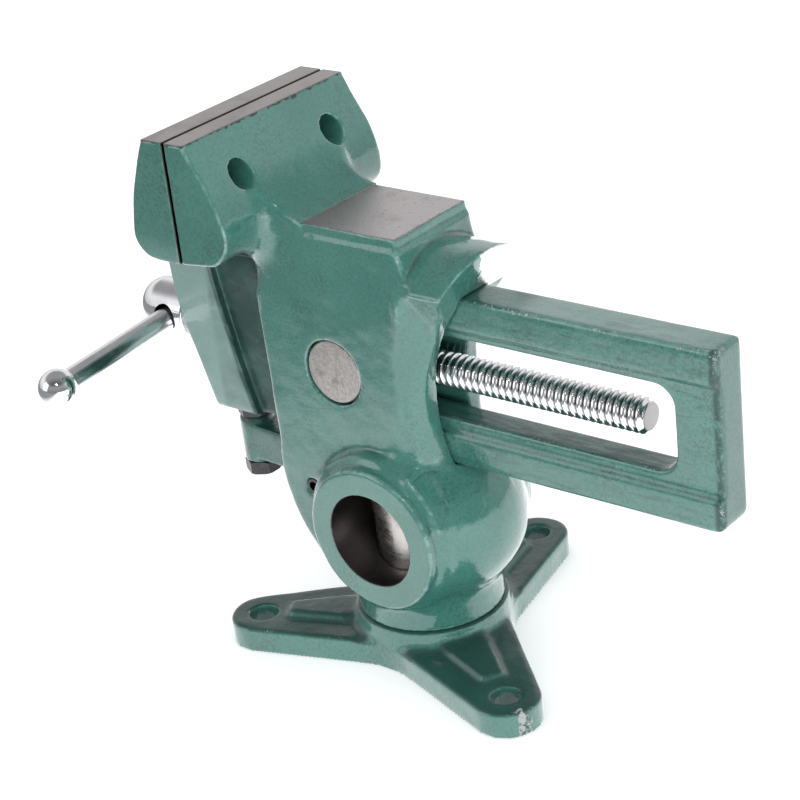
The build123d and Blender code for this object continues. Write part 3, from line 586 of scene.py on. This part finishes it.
# The cast skin waves, save where the slide runs; paint has run down beside the guide, and a
# rounded bead follows the guide's edge and the socket's ring.
in_guide = band(side, 9.4, 8.8) * band(pz, 83.0, 83.4) * band(pz, 152.6, 152.2)
body_cast = (free * (1 - in_guide) * band(pz, 17.7, 18.4) * band(from_socket, 18.7, 31)
             * band(from_nut, 12.8, 15.5))
ripple(body_net, body_points, body_cast, ((0.016, 0.00030), (0.0055, 0.00010)))
runs = body_cast * band(pz, 84, 96) * band(pz, 160, 150) * band(py, 4, 12) * band(scoop - py, 0.5, 3)
ripple(body_net, body_points, runs, ((0.0035, 0.00022),), sag=7.0)
bead_height, bead_width, bead_bend = 0.0010, 2.3, 83.0
round_ring = np.arctan2(pz - socket_height, py)
off_bead = np.where(pz > bead_bend, np.abs(py - 17.5), np.abs(from_socket - 31.5))
bead_part = np.where(pz > bead_bend, band(pz, 158, 150),
                     band(round_ring, 0.0, 0.35) * band(round_ring, 1.2, 0.9))
bead = bead_height * np.exp(-(off_bead / bead_width) ** 2) * bead_part
bead *= band(side, 9.6, 11.5) * band(py, 6, 12)
body_points += (bead * body_cast)[:, None] * outward(body_net, body_points)
inside(body_points, "vise_body")
body = finished("vise_casting", body_net, body_points, body_near)


def ragged_line(tree, place, z):
    """The height, with the small waver of a paint line, and that waver."""
    waver = step(tree, "SUBTRACT", speckle(tree, place, 0.0022, 3.0), 0.5)
    return plus(tree, z, times(tree, waver, 0.0008)), waver


def casting_ground(tree, place, x, y, z):
    """Where the casting is machined bare, where painted shade darkens it, and where it is polished."""
    height, waver = ragged_line(tree, place, z)
    pad = times(tree, rise(tree, height, 0.17545, 0.17560), step(tree, "LESS_THAN", z, 0.1763),
                step(tree, "GREATER_THAN", y, -0.0232))
    land = rise(tree, height, bare_top_from, bare_top_full)
    face = step(tree, "LESS_THAN", y, -0.0622)
    drop = step(tree, "SUBTRACT", z, socket_height / 1000)
    away = step(tree, "SQRT", plus(tree, times(tree, drop, drop), times(tree, y, y)))
    bore = step(tree, "LESS_THAN", away, socket_bore / 1000)
    end_along, end_height, end_slope = 0.0340, 0.1475, 0.4717
    leaning = times(tree, step(tree, "SUBTRACT", z, end_height), -end_slope)
    behind_end = plus(tree, y, -end_along, leaning)
    polished_part = plus(tree, times(tree, z, 0.39), times(tree, x, -1.0), times(tree, waver, 0.006))
    guide_end = times(tree, rise(tree, behind_end, -0.0010, -0.0006),
                      rise(tree, polished_part, 0.0612, 0.0616), step(tree, "GREATER_THAN", z, 0.1500))
    bare = most(tree, pad, land, guide_end, face, bore)
    # The gripping face and, less, the bore are darkened as painted shade.
    return bare, most(tree, face, times(tree, bore, 0.72)), guide_end


def top_edge_soot(tree, place, x, y, z):
    """The ragged dark line where the paint of a jaw ends under its ground top."""
    ragged = times(tree, speckle(tree, place, 0.0045, 4.0, 0.7), 0.0050)
    return rise(tree, plus(tree, z, ragged), 0.2100, 0.2104, 0.0, 0.98)


body_net.materials.append(
    enamel("casting_enamel", smooth=0.10, rough=0.24, soiled=0.40, edge_highlight=0.40, dirt_and_shade=top_edge_soot,
           ground=casting_ground))
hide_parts("vise_body")
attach(body, "vise")

# The cross nut and the pivot pin
# The nut is a round steel bar put in from the side, faced off and left bare. The pin under it
# is a rolled steel tube, blackened, that carries the lock lever.

dress("barrel_nut", turned_steel("nut_steel", (0.56, 0.53, 0.51), (0.40, 0.375, 0.36), rough=0.36))
dress("lock_pivot_pin", turned_steel("pin_steel", (0.12, 0.115, 0.115), (0.07, 0.065, 0.065), rough=0.38))

# The moving jaw with its arm and slide
# One iron casting, enamelled all over; the slide is rubbed by the guide, so its paint is dull
# and chipped along the edges. The jaw's top and gripping face are ground bare.

jaw_net, jaw_points, jaw_near = skin_of("moving_jaw", voxel=0.0006)
px, py, pz = (jaw_points * 1000).T
side = np.abs(px)
gripping = band(py, -64.2, -63.9) * band(pz, 160.8, 161.6)
spindle = band(np.hypot(px, pz - screw_height), 12.6, 12.1) * band(py, -60, -62)
machined = np.maximum.reduce([band(pz, 207.2, 207.8), gripping, spindle])
free = 1 - machined
settle(jaw_points, jaw_near, free, rounds=6)
slide = band(py, 20, 28) * band(side, 9.6, 9.2)
settle(jaw_points, jaw_near, free * slide, rounds=8)
root = band(pz, 150, 156) * band(pz, 196, 190) * band(py, -66, -67.5) * band(side, 26, 22)
settle(jaw_points, jaw_near, free * root, rounds=34)
back_on(jaw_points, "moving_jaw", machined)
jaw_cast = free * band(py, -50, -62) + free * 0.25 * band(py, -62, -50)
ripple(jaw_net, jaw_points, jaw_cast, ((0.014, 0.00020), (0.005, 0.00007)))
inside(jaw_points, "moving_jaw")
moving_jaw = finished("moving_jaw_casting", jaw_net, jaw_points, jaw_near)


def jaw_ground(tree, place, x, y, z):
    """The bare top and the gripping face of the jaw, darkened as painted shade; none of it is polished."""
    face_along, face_foot = -0.0637, 0.1610
    from_face = step(tree, "ABSOLUTE", plus(tree, y, -face_along))
    face = times(tree, step(tree, "LESS_THAN", from_face, 0.0003), step(tree, "GREATER_THAN", z, face_foot))
    land = rise(tree, ragged_line(tree, place, z)[0], bare_top_from, bare_top_full)
    return most(tree, land, face), face, 0.0


def slide_chips(tree, place, x, y, z, rim, flaking):
    """Chips along the slide's edges, and rubbed patches on its sides."""
    nicks = speckle(tree, place, 0.0012, 3.0, 0.65)
    edges = times(tree, rise(tree, rim, 0.50, 0.85), rise(tree, nicks, 0.54, 0.60),
                  rise(tree, speckle(tree, place, 0.017, 2.0), 0.46, 0.56),
                  rise(tree, z, 0.140, 0.147, 0.25, 1.0))
    patches = times(tree, rise(tree, speckle(tree, place, 0.013, 3.0), 0.56, 0.66),
                    rise(tree, nicks, 0.62, 0.68, 0.0, 0.3))
    corner = times(tree, rise(tree, y, 0.1366, 0.1376), rise(tree, x, 0.0066, 0.0074),
                   rise(tree, speckle(tree, place, 0.0028, 4.0, 0.7), 0.56, 0.62))
    return times(tree, rise(tree, y, -0.045, -0.035), most(tree, edges, patches, corner))


def slide_dirt_and_shade(tree, place, x, y, z):
    """Painted shade behind the arm, on the slot floor and under the hood, a darker free end, and dirt where
    the guide and the hand rub the slide.
    """
    # Painted shade in the gap behind the arm.
    shade_behind_arm = times(tree, rise(tree, y, -0.0870, -0.0840), rise(tree, y, -0.036, -0.064),
                       rise(tree, step(tree, "ABSOLUTE", x), 0.0122, 0.0116),
                       rise(tree, z, 0.170, 0.166),
                       rise(tree, speckle(tree, place, 0.014, 3.0), 0.35, 0.60, 0.66, 0.92))
    lengthwise = drawn_out(tree, place, (1.0, 0.12, 1.0))
    rubbed = times(tree, rise(tree, speckle(tree, lengthwise, 0.0021, 4.0, 0.6), 0.50, 0.70),
                   rise(tree, y, 0.015, 0.025, 0.0, 0.35))
    end_edge = times(tree, rise(tree, y, 0.1345, 0.1362), rise(tree, x, 0.0046, 0.0062),
                     rise(tree, speckle(tree, place, 0.0024, 4.0, 0.7), 0.38, 0.50, 0.25, 0.85))
    free_end = rise(tree, y, 0.1374, 0.1382, 0.0, 0.42)
    tops = rise(tree, facing_up(tree), 0.5, 0.8)
    # Painted shade on the floor of the slot, streaked lengthwise.
    shaded_slot_floor = times(tree, tops, rise(tree, z, 0.120, 0.115),
                       rise(tree, speckle(tree, lengthwise, 0.0014, 3.0), 0.40, 0.60, 0.45, 0.80))
    # Painted shade on the top of the slide under the hood.
    shade_under_hood = times(tree, tops, rise(tree, z, 0.140, 0.145), rise(tree, y, 0.064, 0.054, 0.0, 0.45))
    return most(tree, shade_behind_arm, rubbed, end_edge, free_end, shaded_slot_floor, shade_under_hood,
                top_edge_soot(tree, place, x, y, z))


def arm_sheen(tree, place, x, y, z):
    """A painted sheen: paler paint on the sides of the arm and on top of the slide, over their dull paint.
    """
    on_arm = times(tree, rise(tree, y, -0.060, -0.066), rise(tree, z, 0.176, 0.150),
                   rise(tree, step(tree, "ABSOLUTE", x), 0.0108, 0.0118),
                   rise(tree, speckle(tree, place, 0.040, 2.0), 0.3, 0.7, 0.58, 0.70))
    slide_top = times(tree, rise(tree, z, 0.1500, 0.1512), rise(tree, y, 0.052, 0.066),
                      rise(tree, y, 0.139, 0.120, 0.10, 0.20))
    return most(tree, on_arm, slide_top)


jaw_net.materials.append(
    enamel("jaw_enamel", smooth=0.20, rough=0.38, soiled=0.60, edge_highlight=0.20, dirt_and_shade=slide_dirt_and_shade,
           ground=jaw_ground, chipped=slide_chips, sheen=arm_sheen))
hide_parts("moving_jaw")
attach(moving_jaw, "jaw")
dress("keeper_screw", turned_steel("keeper_steel", (0.085, 0.08, 0.085), (0.05, 0.048, 0.05), rough=0.42))

# The screw
# Rolled steel with a rounded right-hand thread, bright plated. Its near end is turned down
# for the head, which is domed, drilled across for the handle and pinned.

plated_grey, plated_white = (0.82, 0.83, 0.85), (0.89, 0.90, 0.92)


def plating(name, rough):
    """Bright plating over polished steel, a little hazy where it was buffed."""
    look, tree, shader, place = fresh_look(name)
    haze = speckle(tree, place, 0.012, 3.0)
    colour = tint(tree, rise(tree, haze, 0.35, 0.65), plated_grey, plated_white)
    tree.links.new(colour, shader.inputs["Base Color"])
    shader.inputs["Metallic"].default_value = 1.0
    tree.links.new(rise(tree, haze, 0.3, 0.7, rough, rough * 2.2), shader.inputs["Roughness"])
    relief(tree, shader, times(tree, speckle(tree, place, 0.0006), 0.000003))
    return look


pitch, crest, trough, axis_height = 0.0030, 0.00648, 0.00500, screw_height / 1000
thread_from, thread_to, run_out, chamfer, end_radius = -0.0400, 0.1067, 0.004, 0.0016, 0.00490
spigot, shank, groove = 0.0050, 0.0064, 0.0049
facets, thread_rings = 60, 784
round_the_screw = np.linspace(0, 2 * math.pi, facets, endpoint=False)


def thread_radii(y):
    """Rounded crests and troughs that climb one pitch in a turn, right-handed about +Y."""
    wave = 0.5 + 0.5 * np.cos(2 * math.pi * y / pitch + round_the_screw)
    wave = np.clip(1.30 * wave - 0.02, 0, 1) ** 0.75
    cut = crest - (crest - trough) * (1 - wave) * band(y, thread_from, thread_from + run_out)
    end = end_radius + np.clip((thread_to - y) / chamfer, 0, 1) * (crest - end_radius)
    return np.minimum(cut, end)


turned_end = ((spigot, -0.1073), (spigot, -0.1043), (shank, -0.1043), (shank, -0.0807),
              (groove, -0.0806), (groove, -0.0774), (shank, -0.0773))
rings = [(np.full(facets, radius), y) for radius, y in turned_end]
rings += [(thread_radii(y), y) for y in np.linspace(thread_from, thread_to, thread_rings)]
rings += [(thread_radii(thread_to) * share, thread_to) for share in (0.9, 0.5)]
screw_verts = [(r * math.cos(a), y, axis_height + r * math.sin(a))
               for radii, y in rings for r, a in zip(radii, round_the_screw)]
following = [(j + 1) % facets for j in range(facets)]
last_ring = (len(rings) - 1) * facets
screw_faces = [(i + j, i + facets + j, i + facets + k, i + k)
               for i in range(0, last_ring, facets) for j, k in enumerate(following)]
near_middle, far_middle = len(screw_verts), len(screw_verts) + 1
screw_verts += [(0, rings[0][1], axis_height), (0, thread_to, axis_height)]
screw_faces += [(j, k, near_middle) for j, k in enumerate(following)]
screw_faces += [(last_ring + k, last_ring + j, far_middle) for j, k in enumerate(following)]
screw_net = bpy.data.meshes.new("screw")
screw_net.from_pydata(screw_verts, [], screw_faces)
screw_net.polygons.foreach_set("use_smooth", np.ones(len(screw_net.polygons), bool))
screw = bpy.data.objects.new("screw_thread", screw_net)
scene.collection.objects.link(screw)
screw_look = plating("screw_plating", rough=0.10)
oiled = screw_look.node_tree
oiled_shader = oiled.nodes["Principled BSDF"]
clean = oiled_shader.inputs["Base Color"].links[0].from_socket
x, y, z = apart(oiled, oiled.nodes.new("ShaderNodeTexCoord").outputs["Object"])
above = step(oiled, "SUBTRACT", z, axis_height)
reach = step(oiled, "SQRT", plus(oiled, times(oiled, x, x), times(oiled, above, above)))
in_trough = times(oiled, rise(oiled, reach, 0.0058, 0.0051), rise(oiled, y, 0.1050, 0.1044))
end_face = rise(oiled, y, 0.10662, 0.10668)
old_oil, sawn_steel = (0.16, 0.155, 0.15), (0.40, 0.39, 0.385)
shade = tint(oiled, end_face, tint(oiled, in_trough, clean, old_oil), sawn_steel)
oiled.links.new(shade, oiled_shader.inputs["Base Color"])
buffed = oiled_shader.inputs["Roughness"].links[0].from_socket
oiled.links.new(between(oiled, end_face, buffed, 0.42), oiled_shader.inputs["Roughness"])
screw_net.materials.append(screw_look)
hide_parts("lead_screw")
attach(screw, "screw")

dress("screw_head", plating("head_plating", rough=0.08))
dress("head_pin", plating("pin_plating", rough=0.12))
dress("thrust_washer", turned_steel("thrust_steel", (0.52, 0.50, 0.49), (0.38, 0.36, 0.35), rough=0.30))

# The handle
# A bar of plated steel that slides through the head, so that it can be pulled to either side
# for reach. A plated ball is pressed on each end and keeps it in.

dress("handle_bar", plating("bar_plating", rough=0.14))
for ball in ("handle_ball_near", "handle_ball_far"):
    dress(ball, plating(ball + "_plating", rough=0.06))

# The lock lever and its adjusting bolt
# A small iron casting under the slide with a rounded nose, enamelled. A black hexagon bolt is
# screwed up through the nose and held by a thin lock nut.

lever_net, lever_points, lever_near = skin_of("lock_lever", voxel=0.0004)
px, py, pz = (lever_points * 1000).T
pivot_along, pivot_height = -34.6, 66.3
from_pivot = np.hypot(py - pivot_along, pz - pivot_height)
held = np.maximum(band(np.hypot(px, py), 19.6, 19.0), band(from_pivot, 4.0, 3.5))
settle(lever_points, lever_near, 1 - held, rounds=12)
back_on(lever_points, "lock_lever", held)
ripple(lever_net, lever_points, 1 - held, ((0.009, 0.00018),))
inside(lever_points, "lock_lever")
lever = finished("lever_casting", lever_net, lever_points, lever_near)


def lever_top_shade(tree, place, x, y, z):
    """Painted shade on the lever's top, under the arm."""
    wavering = plus(tree, z, times(tree, speckle(tree, place, 0.008, 3.0), 0.008))
    return rise(tree, wavering, 0.0740, 0.0830, 0.16, 0.75)


lever_net.materials.append(
    enamel("lever_enamel", smooth=0.22, rough=0.40, soiled=0.90, edge_highlight=0.12, dirt_and_shade=lever_top_shade))
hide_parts("lock_lever")
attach(lever, "lever")
for part in ("lock_bolt", "lock_jam_nut"):
    dress(part, turned_steel(part + "_steel", (0.095, 0.09, 0.095), (0.055, 0.052, 0.055), rough=0.36))
